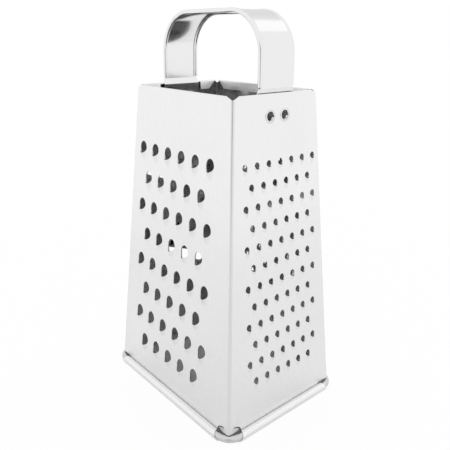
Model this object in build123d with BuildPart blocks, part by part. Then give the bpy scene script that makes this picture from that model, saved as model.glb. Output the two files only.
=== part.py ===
from build123d import *
from math import acos, atan2, cos, degrees, radians, sin, tan
import os

os.makedirs("parts", exist_ok=True)

# Four-sided box grater of stainless sheet, in millimetres, +Z up.
# The origin is on the ground under the middle of the body. X runs along the handle's span.
# The coarse face looks along -Y, the fine face along +X, the rasp along +Y, the slicer along -X.

# Body: one sheet, bent round four corners
sheet = 0.5
foot_width = 96.0
foot_depth = 73.7
top_width = 75.9
top_depth = 55.4
body_height = 163.5
bend_radius = 1.5
lap_width = 5.0

# Rim: the sheet rolled outwards round a wire
rim_radius = 2.2
rim_flat = 0.1
rim_corner_gap = 8.0
rim_seam_gap = 0.12
rim_sides = 16
wire_clearance = 0.05
wire_sides = 6
wire_bend_radius = 3.2
corner_tongue = 1.8

# Hem: the top edge folded inwards
hem_radius = 0.6
hem_lean = 9.0
hem_flap = 4.3
hem_sides = 5
notch_width = 4.0
notch_depth = 2.3
notch_slant_share = 1.0
leg_notch_margin = 1.5

# Coarse shredding teeth. The rows sit a little off the wall's middle, away from the front corner.
coarse_columns = 6
coarse_pitch = 11.15
coarse_row_pitch = 15.62
coarse_offset = -2.8
coarse_drop = 32.7
coarse_foot_margin = 16.0
coarse_half_width = 2.7
coarse_mouth_drop = 3.2
coarse_lip_height = 2.3
coarse_slope = 33.0
coarse_sides = 8

# Fine shredding teeth, off the wall's middle in the same way
fine_columns = 7
fine_pitch = 7.6
fine_row_pitch = 9.65
fine_offset = 1.2
fine_drop = 32.4
fine_foot_margin = 18.0
fine_half_width = 1.5
fine_mouth_drop = 1.7
fine_lip_height = 1.5
fine_slope = 33.0
fine_sides = 6

# Rasp points, punched outwards with a sharp four-sided hole
rasp_columns = 7
rasp_pitch = 7.6
rasp_row_pitch = 9.3
rasp_offset = 0.0
rasp_drop = 30.8
rasp_foot_margin = 22.0
rasp_base = 3.2
rasp_height = 1.0
rasp_hole = 1.0
rasp_turn = 45.0

# Slicing slots, set on a slant
slot_count = 2
slot_pitch = 48.4
slot_middle_share = 0.502
slot_tilt = 20.0
slot_length = 46.0
slot_above = 2.9
slot_below = 4.2
slot_corner = 2.0
blade_height = 3.0
blade_ramp = 8.0
blade_end = 3.5
blade_crest_share = 0.62

# Handle: a strap with curled edges
strap_sheet = 0.6
strap_width = 22.8
strap_inset = 0.05
handle_rise = 38.9
handle_bend = 24.0
curl_radius = 1.1
curl_seam_gap = 0.1
curl_sides = 5
curl_start = 4.5
strap_clearance = 0.05
leg_depth = 16.5
leg_flare = 1.0
leg_corner = 3.0
joggle_depth = 4.5
joggle_radius = 1.5

# Hollow rivets, two to each leg
rivet_bore = 4.4
rivet_wall = 0.3
rivet_flange = 6.6
rivet_flange_thickness = 0.35
rivet_sides = 12
rivet_entry = 0.2
rivet_entry_slope = 45.0
rivet_clearance = 0.05
rivet_spacing = 9.6
rivet_drop = 10.5

# Cuts run past what they cut by this much
overrun = 3.0

# Places that follow from the sizes above
rim_centre = rim_radius - rim_flat
rim_offset = rim_radius - sheet
wire_radius = rim_offset - wire_clearance
rivet_radius = rivet_bore / 2 + rivet_wall
shell_bottom = rim_centre + corner_tongue
shell_top = body_height - 2 * hem_radius
strap_span = top_width - 2 * strap_inset
handle_height = body_height + handle_rise
leg_notch_width = strap_width + 2 * leg_flare + 2 * leg_notch_margin


def lean_of(foot_half, top_half):
    """Angle by which a wall leans inwards, in degrees."""
    return degrees(atan2(foot_half - top_half, body_height - rim_centre))


def foot_of(foot_half, top_half):
    """Height of the foot of a wall, where its rolled rim begins."""
    return rim_centre - rim_offset * sin(radians(lean_of(foot_half, top_half)))


def half_at(foot_half, top_half, height):
    """Half of the body's width at a height, to the outer faces."""
    rise = height - foot_of(foot_half, top_half)
    return foot_half - rise * tan(radians(lean_of(foot_half, top_half)))


def wall_face(turn, foot_half, top_half):
    """Outer face of a wall as a plane: x along the wall, y up it, z outwards."""
    lean = radians(lean_of(foot_half, top_half))
    outward = Vector(cos(lean), 0, sin(lean)).rotate(Axis.Z, turn)
    along = Vector(0, 1, 0).rotate(Axis.Z, turn)
    foot = Vector(foot_half, 0, foot_of(foot_half, top_half)).rotate(Axis.Z, turn)
    return Plane(origin=foot, x_dir=along, z_dir=outward)


def section_of(face):
    """Plane across a wall: x inwards from the outer face, y up the wall."""
    return Plane(origin=face.origin, x_dir=-face.z_dir, z_dir=face.x_dir)


half_foot_width = foot_width / 2
half_top_width = top_width / 2
half_foot_depth = foot_depth / 2
half_top_depth = top_depth / 2
fine_face = wall_face(0, half_foot_width, half_top_width)
rasp_face = wall_face(90, half_foot_depth, half_top_depth)
slicer_face = wall_face(180, half_foot_width, half_top_width)
coarse_face = wall_face(270, half_foot_depth, half_top_depth)
end_lean = lean_of(half_foot_width, half_top_width)
side_lean = lean_of(half_foot_depth, half_top_depth)


def crest_height(face, lean):
    """Distance up a wall at which its folded top edge lies."""
    rise = body_height - face.origin.Z - hem_radius * (1 - sin(radians(lean)))
    return rise / cos(radians(lean)) + hem_radius


def staggered(face, lean, columns, pitch, row_pitch, offset, drop, foot_margin):
    """Places on a wall in rows that are one short and half a pitch over by turns."""
    top_row = crest_height(face, lean) - drop
    rows = int((top_row - foot_margin) / row_pitch) + 1
    places = []
    for row in range(rows):
        count = columns - row % 2
        for column in range(count):
            across = offset + (column - (count - 1) / 2) * pitch
            places.append(face.location * Pos(across, top_row - row * row_pitch))
    return places


def round_points(centre, radius, start, turn, sides):
    """Points of a round stretch in flat sides, from a start angle through a turn in degrees."""
    angles = [radians(start + turn * step / sides) for step in range(sides + 1)]
    return [centre + Vector(cos(angle), sin(angle)) * radius for angle in angles]


# Each wall with its lean and the half widths of the body along it, at the foot and at the top
walls = [
    (fine_face, end_lean, half_foot_depth, half_top_depth),
    (slicer_face, end_lean, half_foot_depth, half_top_depth),
    (coarse_face, side_lean, half_foot_width, half_top_width),
    (rasp_face, side_lean, half_foot_width, half_top_width),
]


def shredding_tooth(half_width, slope, mouth_drop, lip_height, sides):
    """Hood and bore of one tooth, on the plane of the sheet's outer face with y up the wall."""
    tilt = radians(slope)
    outer = half_width + sheet
    # The ridge of the hood passes through the lip, which stands lip_height out and mouth_drop down
    ridge_foot = -mouth_drop - lip_height / tan(tilt)
    centre = ridge_foot + outer / sin(tilt)
    axis_plane = Plane(
        origin=(0, centre, 0), x_dir=(1, 0, 0), z_dir=(0, cos(tilt), sin(tilt))
    )
    mouth = Plane(
        origin=(0, 0, 0), x_dir=(1, 0, 0), z_dir=(0, lip_height, mouth_drop)
    )
    reach = outer / sin(tilt) + sheet + lip_height
    turn = 90 - 180 / sides
    with BuildPart() as hood:
        with BuildSketch(axis_plane):
            RegularPolygon(outer, sides, major_radius=False, rotation=turn)
        extrude(amount=reach, both=True)
        split(bisect_by=Plane.XY.offset(-sheet / 2), keep=Keep.TOP)
        split(bisect_by=mouth, keep=Keep.BOTTOM)
    with BuildPart() as bore:
        with BuildSketch(axis_plane):
            RegularPolygon(half_width, sides, major_radius=False, rotation=turn)
        extrude(amount=reach, both=True)
    return hood.part, bore.part


def rasp_point():
    """One punched point and the hollow behind it, on the plane of the sheet's outer face."""
    run = (rasp_base - rasp_hole) / 2
    with BuildPart() as point:
        with BuildSketch():
            Rectangle(rasp_base, rasp_base, rotation=rasp_turn)
        extrude(amount=rasp_height + sheet / 2, taper=degrees(atan2(run, rasp_height)))
    # The hollow's sides meet the point's sides at the sharp edge of the hole
    with BuildPart() as hollow:
        with BuildSketch(Plane.XY.offset(-sheet)):
            Rectangle(rasp_base, rasp_base, rotation=rasp_turn)
        extrude(amount=rasp_height + 2 * sheet, taper=degrees(atan2(run, rasp_height + sheet)))
    return point.part, hollow.part


def slicing_blade():
    """Raised blade of a slot and its hollow. The lip is on the x axis and opens towards +y."""
    across = Plane(origin=(0, 0, 0), x_dir=(0, 1, 0), z_dir=(1, 0, 0))
    half_length = slot_length / 2
    with BuildPart() as ramp:
        with BuildSketch(across):
            with BuildLine():
                bend = ThreePointArc(
                    (-blade_ramp, 0),
                    (-blade_ramp / 2, blade_height * blade_crest_share),
                    (0, blade_height),
                )
                Polyline(bend @ 1, (0, -sheet / 2), (-blade_ramp, -sheet / 2), bend @ 0)
            make_face()
        extrude(amount=half_length + sheet, both=True)
        for side in (1, -1):
            end = Plane(
                origin=(side * (half_length + sheet), 0, 0),
                x_dir=(0, 1, 0),
                z_dir=(side * blade_height, 0, blade_end),
            )
            split(bisect_by=end, keep=Keep.BOTTOM)
    with BuildPart() as hollow:
        with BuildSketch(across):
            with BuildLine():
                bend = ThreePointArc(
                    (sheet - blade_ramp, 0),
                    (-blade_ramp / 2, blade_height * blade_crest_share - sheet),
                    (sheet, blade_height - sheet),
                )
                Polyline(bend @ 1, (sheet, -2 * sheet), (sheet - blade_ramp, -2 * sheet), bend @ 0)
            make_face()
        extrude(amount=half_length, both=True)
        for side in (1, -1):
            end = Plane(
                origin=(side * half_length, 0, 0),
                x_dir=(0, 1, 0),
                z_dir=(side * blade_height, 0, blade_end),
            )
            split(bisect_by=end, keep=Keep.BOTTOM)
    return ramp.part, hollow.part


# Grater body
coarse_hood, coarse_bore = shredding_tooth(
    coarse_half_width, coarse_slope, coarse_mouth_drop, coarse_lip_height, coarse_sides
)
fine_hood, fine_bore = shredding_tooth(
    fine_half_width, fine_slope, fine_mouth_drop, fine_lip_height, fine_sides
)
rasp_cone, rasp_hollow = rasp_point()
blade, blade_hollow = slicing_blade()

coarse_places = staggered(
    coarse_face,
    side_lean,
    coarse_columns,
    coarse_pitch,
    coarse_row_pitch,
    coarse_offset,
    coarse_drop,
    coarse_foot_margin,
)
fine_places = staggered(
    fine_face,
    end_lean,
    fine_columns,
    fine_pitch,
    fine_row_pitch,
    fine_offset,
    fine_drop,
    fine_foot_margin,
)
rasp_places = staggered(
    rasp_face,
    side_lean,
    rasp_columns,
    rasp_pitch,
    rasp_row_pitch,
    rasp_offset,
    rasp_drop,
    rasp_foot_margin,
)
end_crest = crest_height(fine_face, end_lean)
slot_places = [
    slicer_face.location
    * Pos(0, end_crest * slot_middle_share + (index - (slot_count - 1) / 2) * slot_pitch)
    * Rot(0, 0, slot_tilt)
    for index in range(slot_count)
]
lip_places = [place * Pos(0, -slot_below) for place in slot_places]
slot_mid_places = [place * Pos(0, (slot_above - slot_below) / 2) for place in slot_places]

rivet_rise = end_crest - rivet_drop
rivet_names = {
    "rivet_fine_front": (fine_face, -1),
    "rivet_fine_back": (fine_face, 1),
    "rivet_slicer_front": (slicer_face, 1),
    "rivet_slicer_back": (slicer_face, -1),
}
rivet_places = {
    name: face.location * Pos(side * rivet_spacing / 2, rivet_rise)
    for name, (face, side) in rivet_names.items()
}

with BuildPart() as grater_body:
    with BuildSketch(Plane.XY.offset(shell_bottom)):
        Rectangle(foot_width, foot_depth)
    extrude(amount=shell_top - shell_bottom)
    for face, _, _, _ in walls:
        split(bisect_by=face, keep=Keep.BOTTOM)
    fillet(grater_body.edges().filter_by(Plane.XY, reverse=True), bend_radius)
    offset(amount=-sheet, openings=grater_body.faces().filter_by(Axis.Z))

    for face, lean, foot_half, top_half in walls:
        # Rim: a straight run down the wall, then the roll, back to the wall's outer face
        roll = 360 - degrees(acos(rim_offset / rim_radius)) - degrees(rim_seam_gap / rim_radius)
        centre = Vector(-rim_offset, 0)
        outside = round_points(centre, rim_radius, 0, -roll, rim_sides)
        inside = round_points(centre, rim_offset, 0, -roll, rim_sides)
        run = [(0, 2 * corner_tongue), (sheet, 2 * corner_tongue)]
        with BuildSketch(section_of(face)):
            Polygon(*run, *outside, *reversed(inside), align=None)
        extrude(amount=foot_half - rim_corner_gap, both=True)

        # Hem: a straight run up the wall, then the fold and the flap
        fold = crest_height(face, lean) - hem_radius
        centre = Vector(hem_radius, fold)
        outside = round_points(centre, hem_radius, 180, hem_lean - 180, hem_sides)
        inside = round_points(centre, hem_radius - sheet, 180, hem_lean - 180, hem_sides)
        drop = Vector(sin(radians(hem_lean)), -cos(radians(hem_lean))) * hem_flap
        flap = [outside[-1] + drop, inside[-1] + drop]
        run = [(sheet, fold - 2 * hem_radius), (0, fold - 2 * hem_radius)]
        with BuildSketch(section_of(face)):
            Polygon(*run, *outside, *flap, *reversed(inside), align=None)
        extrude(amount=top_half - bend_radius, both=True)

    for face, lean, foot_half, top_half in walls:
        crest = crest_height(face, lean)
        corner = half_at(foot_half, top_half, body_height)
        flap_foot = crest - hem_flap - 2 * hem_radius
        flap_gain = (crest - flap_foot) * notch_slant_share
        for side in (1, -1):
            # V notch in the wall at the corner
            with BuildSketch(face.offset(overrun)):
                with BuildLine():
                    Polyline(
                        (side * (corner - notch_width), crest),
                        (side * (corner + sheet), crest - notch_depth),
                        (side * (corner + overrun), crest - notch_depth),
                        (side * (corner + overrun), crest + overrun),
                        (side * (corner - notch_width), crest + overrun),
                        close=True,
                    )
                make_face()
            extrude(amount=-(overrun + hem_radius), mode=Mode.SUBTRACT)
            # Slanted end of the folded flap
            with BuildSketch(face.offset(-hem_radius)):
                with BuildLine():
                    Polyline(
                        (side * (corner - notch_width), crest),
                        (side * (corner - notch_width - flap_gain), flap_foot),
                        (side * (corner - 2 * sheet), flap_foot),
                        (side * (corner - 2 * sheet), crest - notch_depth),
                        (side * (corner + overrun), crest - notch_depth),
                        (side * (corner + overrun), crest + overrun),
                        (side * (corner - notch_width), crest + overrun),
                        close=True,
                    )
                make_face()
            extrude(amount=-overrun, mode=Mode.SUBTRACT)

    # The flaps stop short of the handle's legs
    for face in (fine_face, slicer_face):
        with BuildSketch(face.offset(-sheet - strap_clearance)):
            with Locations((0, end_crest - hem_radius - hem_flap)):
                Rectangle(leg_notch_width, 2 * hem_flap)
        extrude(amount=-overrun, mode=Mode.SUBTRACT)

    # Lap of the sheet's two ends, inside the corner between the rasp and the slicer
    lap_bottom = shell_bottom - rasp_face.origin.Z
    lap_top = crest_height(rasp_face, side_lean) - hem_flap - 3 * hem_radius
    lean_run = (half_foot_width - half_top_width) / (body_height - rim_centre)
    with BuildSketch(rasp_face.offset(-sheet)):
        with BuildLine():
            Polyline(
                (half_foot_width - lap_bottom * lean_run - lap_width, lap_bottom),
                (half_foot_width - lap_bottom * lean_run - sheet, lap_bottom),
                (half_foot_width - lap_top * lean_run - sheet, lap_top),
                (half_foot_width - lap_top * lean_run - lap_width, lap_top),
                close=True,
            )
        make_face()
    extrude(amount=-sheet)

    for place in rivet_places.values():
        with BuildSketch(Plane(place).offset(overrun)):
            RegularPolygon(rivet_radius + rivet_clearance, rivet_sides)
        extrude(amount=-2 * overrun, mode=Mode.SUBTRACT)

    split(bisect_by=Plane.XY, keep=Keep.TOP)

    # Teeth: everything raised is joined at once, and everything hollow is cut at once
    pressed = [
        (coarse_hood, coarse_bore, coarse_places),
        (fine_hood, fine_bore, fine_places),
        (rasp_cone, rasp_hollow, rasp_places),
        (blade, blade_hollow, lip_places),
    ]
    add([raised.moved(place) for raised, _, places in pressed for place in places], clean=False)
    add(
        [hollow.moved(place) for _, hollow, places in pressed for place in places],
        mode=Mode.SUBTRACT,
        clean=False,
    )
    for place in slot_mid_places:
        with BuildSketch(Plane(place).offset(overrun)):
            RectangleRounded(slot_length, slot_above + slot_below, slot_corner)
        extrude(amount=-2 * overrun, mode=Mode.SUBTRACT)
grater_body.part.label = "grater_body"
export_step(grater_body.part, "parts/grater_body.step")

# Rim wire: a closed loop inside the roll, bare at the four corners
wire_half_width = half_foot_width + rim_offset * cos(radians(end_lean))
wire_half_depth = half_foot_depth + rim_offset * cos(radians(side_lean))
with BuildSketch(Plane.XY.offset(rim_centre)) as wire_loop:
    RectangleRounded(2 * wire_half_width, 2 * wire_half_depth, wire_bend_radius)
with BuildPart() as rim_wire:
    with BuildSketch(Plane(origin=(0, -wire_half_depth, rim_centre), z_dir=(1, 0, 0))):
        RegularPolygon(wire_radius, wire_sides)
    sweep(path=wire_loop.face().outer_wire())
rim_wire.part.label = "rim_wire"
export_step(rim_wire.part, "parts/rim_wire.step")


def on_leg(drop, inward):
    """Point in the XZ plane at a distance down the fine face and inwards from it."""
    spot = fine_face.origin + fine_face.y_dir * (end_crest - drop) - fine_face.z_dir * inward
    return spot.X, spot.Z


# Handle: two flat legs inside the end walls, and a curled strap over the top
seat = sheet + strap_clearance + strap_sheet / 2
neck = 2 * hem_radius + strap_clearance + strap_sheet / 2
strap_middle = (strap_span - strap_sheet) / 2
curl_foot = body_height + curl_start
leg_half_width = strap_width / 2 + leg_flare
with BuildPart() as handle:
    with BuildSketch(Plane.XZ):
        with BuildLine():
            FilletPolyline(
                on_leg(leg_depth, seat),
                on_leg(joggle_depth, seat),
                on_leg(2 * hem_radius, neck),
                on_leg(-hem_radius, neck),
                (strap_middle, body_height + curl_start / 2),
                (strap_middle, curl_foot),
                radius=joggle_radius,
            )
        trace(line_width=strap_sheet)
    extrude(amount=leg_half_width, both=True)
    with BuildSketch(Plane.YZ):
        with BuildLine():
            Polyline(
                (strap_width / 2, curl_foot),
                (leg_half_width, body_height + curl_start / 2),
                (leg_half_width, body_height - leg_depth - overrun),
                (-leg_half_width, body_height - leg_depth - overrun),
                (-leg_half_width, body_height + curl_start / 2),
                (-strap_width / 2, curl_foot),
                close=True,
            )
        make_face()
    extrude(amount=strap_span, both=True, mode=Mode.INTERSECT)
    foot_corners = handle.edges().filter_by(lambda edge: edge.length < 2 * strap_sheet)
    fillet(foot_corners.group_by(Axis.Z)[0].filter_by(Axis.Y, reverse=True), leg_corner)
    mirror(about=Plane.YZ)
    for place in rivet_places.values():
        with BuildSketch(Plane(place).offset(overrun)):
            RegularPolygon(rivet_radius + rivet_clearance, rivet_sides)
        extrude(amount=-2 * overrun, mode=Mode.SUBTRACT)

    with BuildLine(Plane.XZ) as strap_path:
        FilletPolyline(
            (strap_span / 2, curl_foot),
            (strap_span / 2, handle_height),
            (-strap_span / 2, handle_height),
            (-strap_span / 2, curl_foot),
            radius=handle_bend,
        )
    start = Plane(origin=(strap_span / 2, 0, curl_foot), x_dir=(0, 1, 0), z_dir=(0, 0, 1))
    with BuildSketch(start):
        with BuildLine():
            turn = 360 - degrees(acos(1 - (strap_sheet + curl_seam_gap) / curl_radius))
            centre = Vector(strap_width / 2 - curl_radius, curl_radius)
            outside = round_points(centre, curl_radius, 270, turn, curl_sides)
            inside = round_points(centre, curl_radius - strap_sheet, 270, turn, curl_sides)
            Polyline((0, 0), *outside, *reversed(inside), (0, strap_sheet))
            mirror(about=Plane.YZ)
        make_face()
    sweep(path=strap_path.wire())
handle.part.label = "handle"
export_step(handle.part, "parts/handle.step")

# Hollow rivets, through the wall and the leg
grip = sheet + strap_clearance + strap_sheet
for name, place in rivet_places.items():
    with BuildPart(Plane(place)) as rivet:
        with BuildSketch(Plane(place).offset(rivet_flange_thickness)):
            RegularPolygon(rivet_flange / 2, rivet_sides)
        extrude(amount=-rivet_flange_thickness)
        with BuildSketch(Plane(place)):
            RegularPolygon(rivet_radius, rivet_sides)
        extrude(amount=-grip)
        with BuildSketch(Plane(place).offset(-grip)):
            RegularPolygon(rivet_flange / 2, rivet_sides)
        extrude(amount=-rivet_flange_thickness)
        with BuildSketch(Plane(place).offset(rivet_flange_thickness)):
            RegularPolygon(rivet_bore / 2, rivet_sides)
        extrude(amount=-(grip + 2 * rivet_flange_thickness), mode=Mode.SUBTRACT)
        with BuildSketch(Plane(place).offset(rivet_flange_thickness)):
            RegularPolygon(rivet_bore / 2 + rivet_entry, rivet_sides)
        extrude(amount=-rivet_entry, taper=rivet_entry_slope, mode=Mode.SUBTRACT)
    rivet.part.label = name
    export_step(rivet.part, f"parts/{name}.step")
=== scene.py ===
"""Looks of a four-sided box grater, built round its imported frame.

Every length is in metres once it is multiplied by MM. The walls, the rim and the handle follow
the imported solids, and their pressed teeth, folds and curled edges are modelled here in full.
"""

from __future__ import annotations

import logging
import math
from dataclasses import dataclass
from enum import Enum, IntEnum
from typing import Iterable, Mapping, Sequence

import bmesh
import bpy
from bmesh.types import BMEdge, BMesh, BMFace, BMVert
from mathutils import Matrix, Vector

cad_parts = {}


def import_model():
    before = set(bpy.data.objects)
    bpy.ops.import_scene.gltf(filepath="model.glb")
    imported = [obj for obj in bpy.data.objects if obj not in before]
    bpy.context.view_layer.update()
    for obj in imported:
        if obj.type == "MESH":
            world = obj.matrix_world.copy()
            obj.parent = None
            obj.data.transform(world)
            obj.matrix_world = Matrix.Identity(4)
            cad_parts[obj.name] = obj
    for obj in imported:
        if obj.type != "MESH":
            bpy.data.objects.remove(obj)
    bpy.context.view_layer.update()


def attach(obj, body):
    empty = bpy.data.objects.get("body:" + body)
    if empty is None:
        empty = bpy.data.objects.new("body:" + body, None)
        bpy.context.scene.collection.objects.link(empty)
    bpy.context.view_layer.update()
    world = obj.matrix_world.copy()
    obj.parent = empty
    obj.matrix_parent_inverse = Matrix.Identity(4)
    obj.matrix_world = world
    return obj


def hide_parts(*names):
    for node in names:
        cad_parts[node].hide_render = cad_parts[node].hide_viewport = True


MM = 0.001
BODY = "root"
WHITE = (1.0, 1.0, 1.0, 1.0)
WELD = 0.002 * MM
SHARP_ANGLE = math.radians(32)
# Most sheet thicknesses that a corner of the sheet's back may lie from its own front corner
MOST_OFFSET = 2.5
# Vertex layer with the share of the sheet that is ground off there
GROUND = "ground_off"
LOG = logging.getLogger("box_grater")


class Side(Enum):
    """The four walls, each with the turn about Z from the fine face, in degrees."""

    FINE = 0
    RASP = 90
    SLICER = 180
    COARSE = 270


class Skin(IntEnum):
    """Material numbers of the body's sheet."""

    OUTER = 0
    BACK = 1
    BEND = 2


# Sizes


@dataclass(frozen=True)
class SheetSizes:
    """Sizes of the bent sheet, in metres."""

    thickness: float = 0.5 * MM
    foot_half_width: float = 48.0 * MM
    foot_half_depth: float = 36.85 * MM
    top_half_width: float = 37.95 * MM
    top_half_depth: float = 27.7 * MM
    height: float = 163.477 * MM
    # Height at which the walls come in to their half extents at the top
    lean_height: float = 163.5 * MM
    bend_radius: float = 1.5 * MM
    rim_radius: float = 2.19 * MM
    rim_centre: float = 2.1 * MM
    rim_seam_gap: float = 0.12 * MM
    rim_corner_gap: float = 8.5 * MM
    rim_outer_gap: float = 4.2 * MM
    rim_edge_gap: float = 8.0 * MM
    tip_height: float = 4.1 * MM
    relief_height: float = 4.35 * MM
    relief_width: float = 1.45 * MM
    # Both reliefs run from the roll's end, in mm along the wall and up it.
    relief_slit: tuple[tuple[float, float], ...] = (
        *((0.0, 0.0), (0.0, 1.3), (0.2, 2.2), (0.8, 3.35), (1.9, 4.25), (3.5, 4.95)),
        *((4.7, 4.85), (5.2, 4.45), (4.75, 4.35), (3.6, 4.4), (2.3, 3.75), (1.5, 2.95)),
    )
    relief_plain: tuple[tuple[float, float], ...] = (
        *((0.0, 0.0), (0.0, 1.2), (0.2, 1.8), (0.65, 2.2)),
    )
    hem_radius: float = 0.6 * MM
    hem_lean: float = math.radians(9)
    hem_flap: float = 4.3 * MM
    notch_width: float = 4.0 * MM
    back_notch_width: float = 2.7 * MM
    notch_depth: float = 2.3 * MM
    leg_notch_half: float = 13.9 * MM
    lap_width: float = 5.0 * MM
    lap_gap: float = 0.02 * MM
    lap_rise: float = 0.5 * MM
    border: float = 0.25 * MM
    bend_dip: float = 0.45 * MM
    rivet_drop: float = 10.5 * MM
    rivet_offset: float = 4.8 * MM

    @property
    def roll_offset(self) -> float:
        """Radius of the roll's inner face, round the wire."""
        return self.rim_radius - self.thickness

    @property
    def roll_turn(self) -> float:
        """Angle of the roll, from the wall round to where its edge comes back to the wall."""
        return 2 * math.pi - math.acos(self.roll_offset / self.rim_radius) - (
            self.rim_seam_gap / self.rim_radius
        )

    @property
    def notch_level(self) -> float:
        """Height of the bend's axis at the bottom of the V notch."""
        share = (self.notch_width - self.bend_radius) / (self.notch_width + self.thickness)
        return self.height - self.notch_depth * share


class Wall:
    """One leaning wall: a flat frame with x along it, y up it and z out of it."""

    def __init__(self, side: Side, sizes: SheetSizes) -> None:
        """Works out the wall's frame.

        Args:
            side: Which of the four walls it is.
            sizes: Sizes of the sheet.
        """
        self.side = side
        self.sizes = sizes
        self.is_end = side in (Side.FINE, Side.SLICER)
        foot = (sizes.foot_half_width, sizes.foot_half_depth)
        top = (sizes.top_half_width, sizes.top_half_depth)
        # How far out the wall lies, and its half length between its neighbours' outer faces
        self.foot_half, self.foot_corner = foot if self.is_end else reversed(foot)
        self.top_half, self.top_corner = top if self.is_end else reversed(top)
        front = side in (Side.FINE, Side.COARSE)
        self.notch_width = sizes.notch_width if front else sizes.back_notch_width
        self.lean = math.atan2(
            self.foot_half - self.top_half, sizes.lean_height - sizes.rim_centre
        )
        turn = Matrix.Rotation(math.radians(side.value), 3, "Z")
        self.foot = sizes.rim_centre - sizes.roll_offset * math.sin(self.lean)
        self.out = turn @ Vector((math.cos(self.lean), 0, math.sin(self.lean)))
        self.along = turn @ Vector((0, 1, 0))
        self.up = self.out.cross(self.along)
        self.origin = turn @ Vector((self.foot_half, 0, self.foot))

    @property
    def matrix(self) -> Matrix:
        """Takes the wall's own x, y and z to the row frame."""
        made = Matrix((self.along, self.up, self.out)).transposed().to_4x4()
        made.translation = self.origin
        return made

    @property
    def crest(self) -> float:
        """Distance up the wall at which its folded top edge lies."""
        hem = self.sizes.hem_radius
        rise = self.sizes.height - self.foot - hem * (1 - math.sin(self.lean))
        return rise / math.cos(self.lean) + hem

    def to_local(self, point: Vector) -> Vector:
        """Takes a point of the row frame into the wall's own frame."""
        moved = point - self.origin
        return Vector((moved.dot(self.along), moved.dot(self.up), moved.dot(self.out)))


class Corner:
    """A bend between two neighbouring walls, with its axis inside them."""

    def __init__(self, first: Wall, second: Wall, sizes: SheetSizes) -> None:
        """Keeps the two walls.

        Args:
            first: The wall before the bend, going round with the walls' own x.
            second: The wall after it.
            sizes: Sizes of the sheet.
        """
        self.first = first
        self.second = second
        self.sizes = sizes

    @property
    def ends(self) -> tuple[Vector, Vector]:
        """Lower and upper end of the first wall's bend line, in that wall's own frame."""
        low = self.first.to_local(self.point(self.sizes.tip_height, 0))
        return low, self.first.to_local(self.point(self.sizes.notch_level, 0))

    def centre(self, height: float) -> Vector:
        """Point of the bend's axis at a height.

        Args:
            height: Height in the row frame.

        Returns:
            The point that lies one radius inside both walls.
        """
        a, b = self.first.out.xy
        c, d = self.second.out.xy
        e, f = (
            wall.out.dot(wall.origin) - self.sizes.bend_radius - wall.out.z * height
            for wall in (self.first, self.second)
        )
        det = a * d - b * c
        return Vector(((e * d - b * f) / det, (a * f - c * e) / det, height))

    def point(self, height: float, share: float) -> Vector:
        """Point of the bend's outer face.

        Args:
            height: Height of the bend's axis there.
            share: 0 at the first wall, 1 at the second.

        Returns:
            The point in the row frame.
        """
        normal = self.first.out.slerp(self.second.out, share)
        return self.centre(height) + normal * self.sizes.bend_radius


# Mesh helpers


def as_mesh(bm: BMesh, name: str) -> bpy.types.Mesh:
    """Turns a bmesh into a mesh, and frees it."""
    mesh = bpy.data.meshes.new(name)
    bm.to_mesh(mesh)
    bm.free()
    return mesh


def add_mesh(bm: BMesh, mesh: bpy.types.Mesh) -> None:
    """Adds a mesh to a bmesh, and removes it."""
    bm.from_mesh(mesh)
    bpy.data.meshes.remove(mesh)


def in_scene(name: str, data: bpy.types.ID) -> bpy.types.Object:
    """Makes an object and puts it in the scene."""
    made = bpy.data.objects.new(name, data)
    bpy.context.scene.collection.objects.link(made)
    return made


def new_mesh_object(
    bm: BMesh, name: str, slot: str, *finishes: "SteelFinish"
) -> bpy.types.Object:
    """Turns a bmesh into a dressed piece that rides on the body.

    Args:
        bm: The finished shape, in the row frame. It is freed.
        name: Name of the piece.
        slot: A material slot's name, which is not used.
        finishes: The finishes that it wears, in the order of its faces' material numbers.

    Returns:
        The new object.
    """
    mark_sharp(bm)
    mesh = as_mesh(bm, name)
    for finish in finishes:
        mesh.materials.append(finish.material())
    piece = in_scene(name, mesh)
    weighted = piece.modifiers.new("even_shading", "WEIGHTED_NORMAL")
    weighted.keep_sharp = True
    weighted.weight = 90
    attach(piece, BODY)
    LOG.info("%s: %d faces", name, len(mesh.polygons))
    return piece


def mark_sharp(bm: BMesh) -> None:
    """Shades the shape smooth, apart from its sharp edges."""
    for face in bm.faces:
        face.smooth = True
    for edge in bm.edges:
        edge.smooth = len(edge.link_faces) != 2 or edge.calc_face_angle() < SHARP_ANGLE


def extruded(bm: BMesh, edges: Sequence[BMEdge]) -> tuple[list[BMVert], list[BMEdge]]:
    """Extrudes edges in place.

    Args:
        bm: The shape.
        edges: The edges to extrude.

    Returns:
        The new vertices, and the new edges that run along the old ones.
    """
    made = bmesh.ops.extrude_edge_only(bm, edges=list(edges))["geom"]
    verts = [item for item in made if isinstance(item, BMVert)]
    fresh = set(verts)
    return verts, [
        item
        for item in made
        if isinstance(item, BMEdge) and item.verts[0] in fresh and item.verts[1] in fresh
    ]


def spun(
    bm: BMesh,
    geom: Sequence[BMVert | BMEdge],
    centre: Vector,
    axis: Vector,
    angle: float,
    steps: int,
    merge: bool = False,
) -> list[BMEdge]:
    """Spins a profile about an axis.

    Args:
        bm: The shape.
        geom: The profile.
        centre: A point of the axis.
        axis: Direction of the axis.
        angle: How far it turns.
        steps: Number of steps.
        merge: Whether the end is merged with the start, for a full turn.

    Returns:
        The edges at the end of the turn.
    """
    made = bmesh.ops.spin(
        bm,
        geom=geom,
        cent=centre,
        axis=axis,
        dvec=Vector((0, 0, 0)),
        angle=angle,
        steps=steps,
        use_merge=merge,
        use_normal_flip=False,
        use_duplicate=False,
    )["geom_last"]
    return [item for item in made if isinstance(item, BMEdge)]


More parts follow.
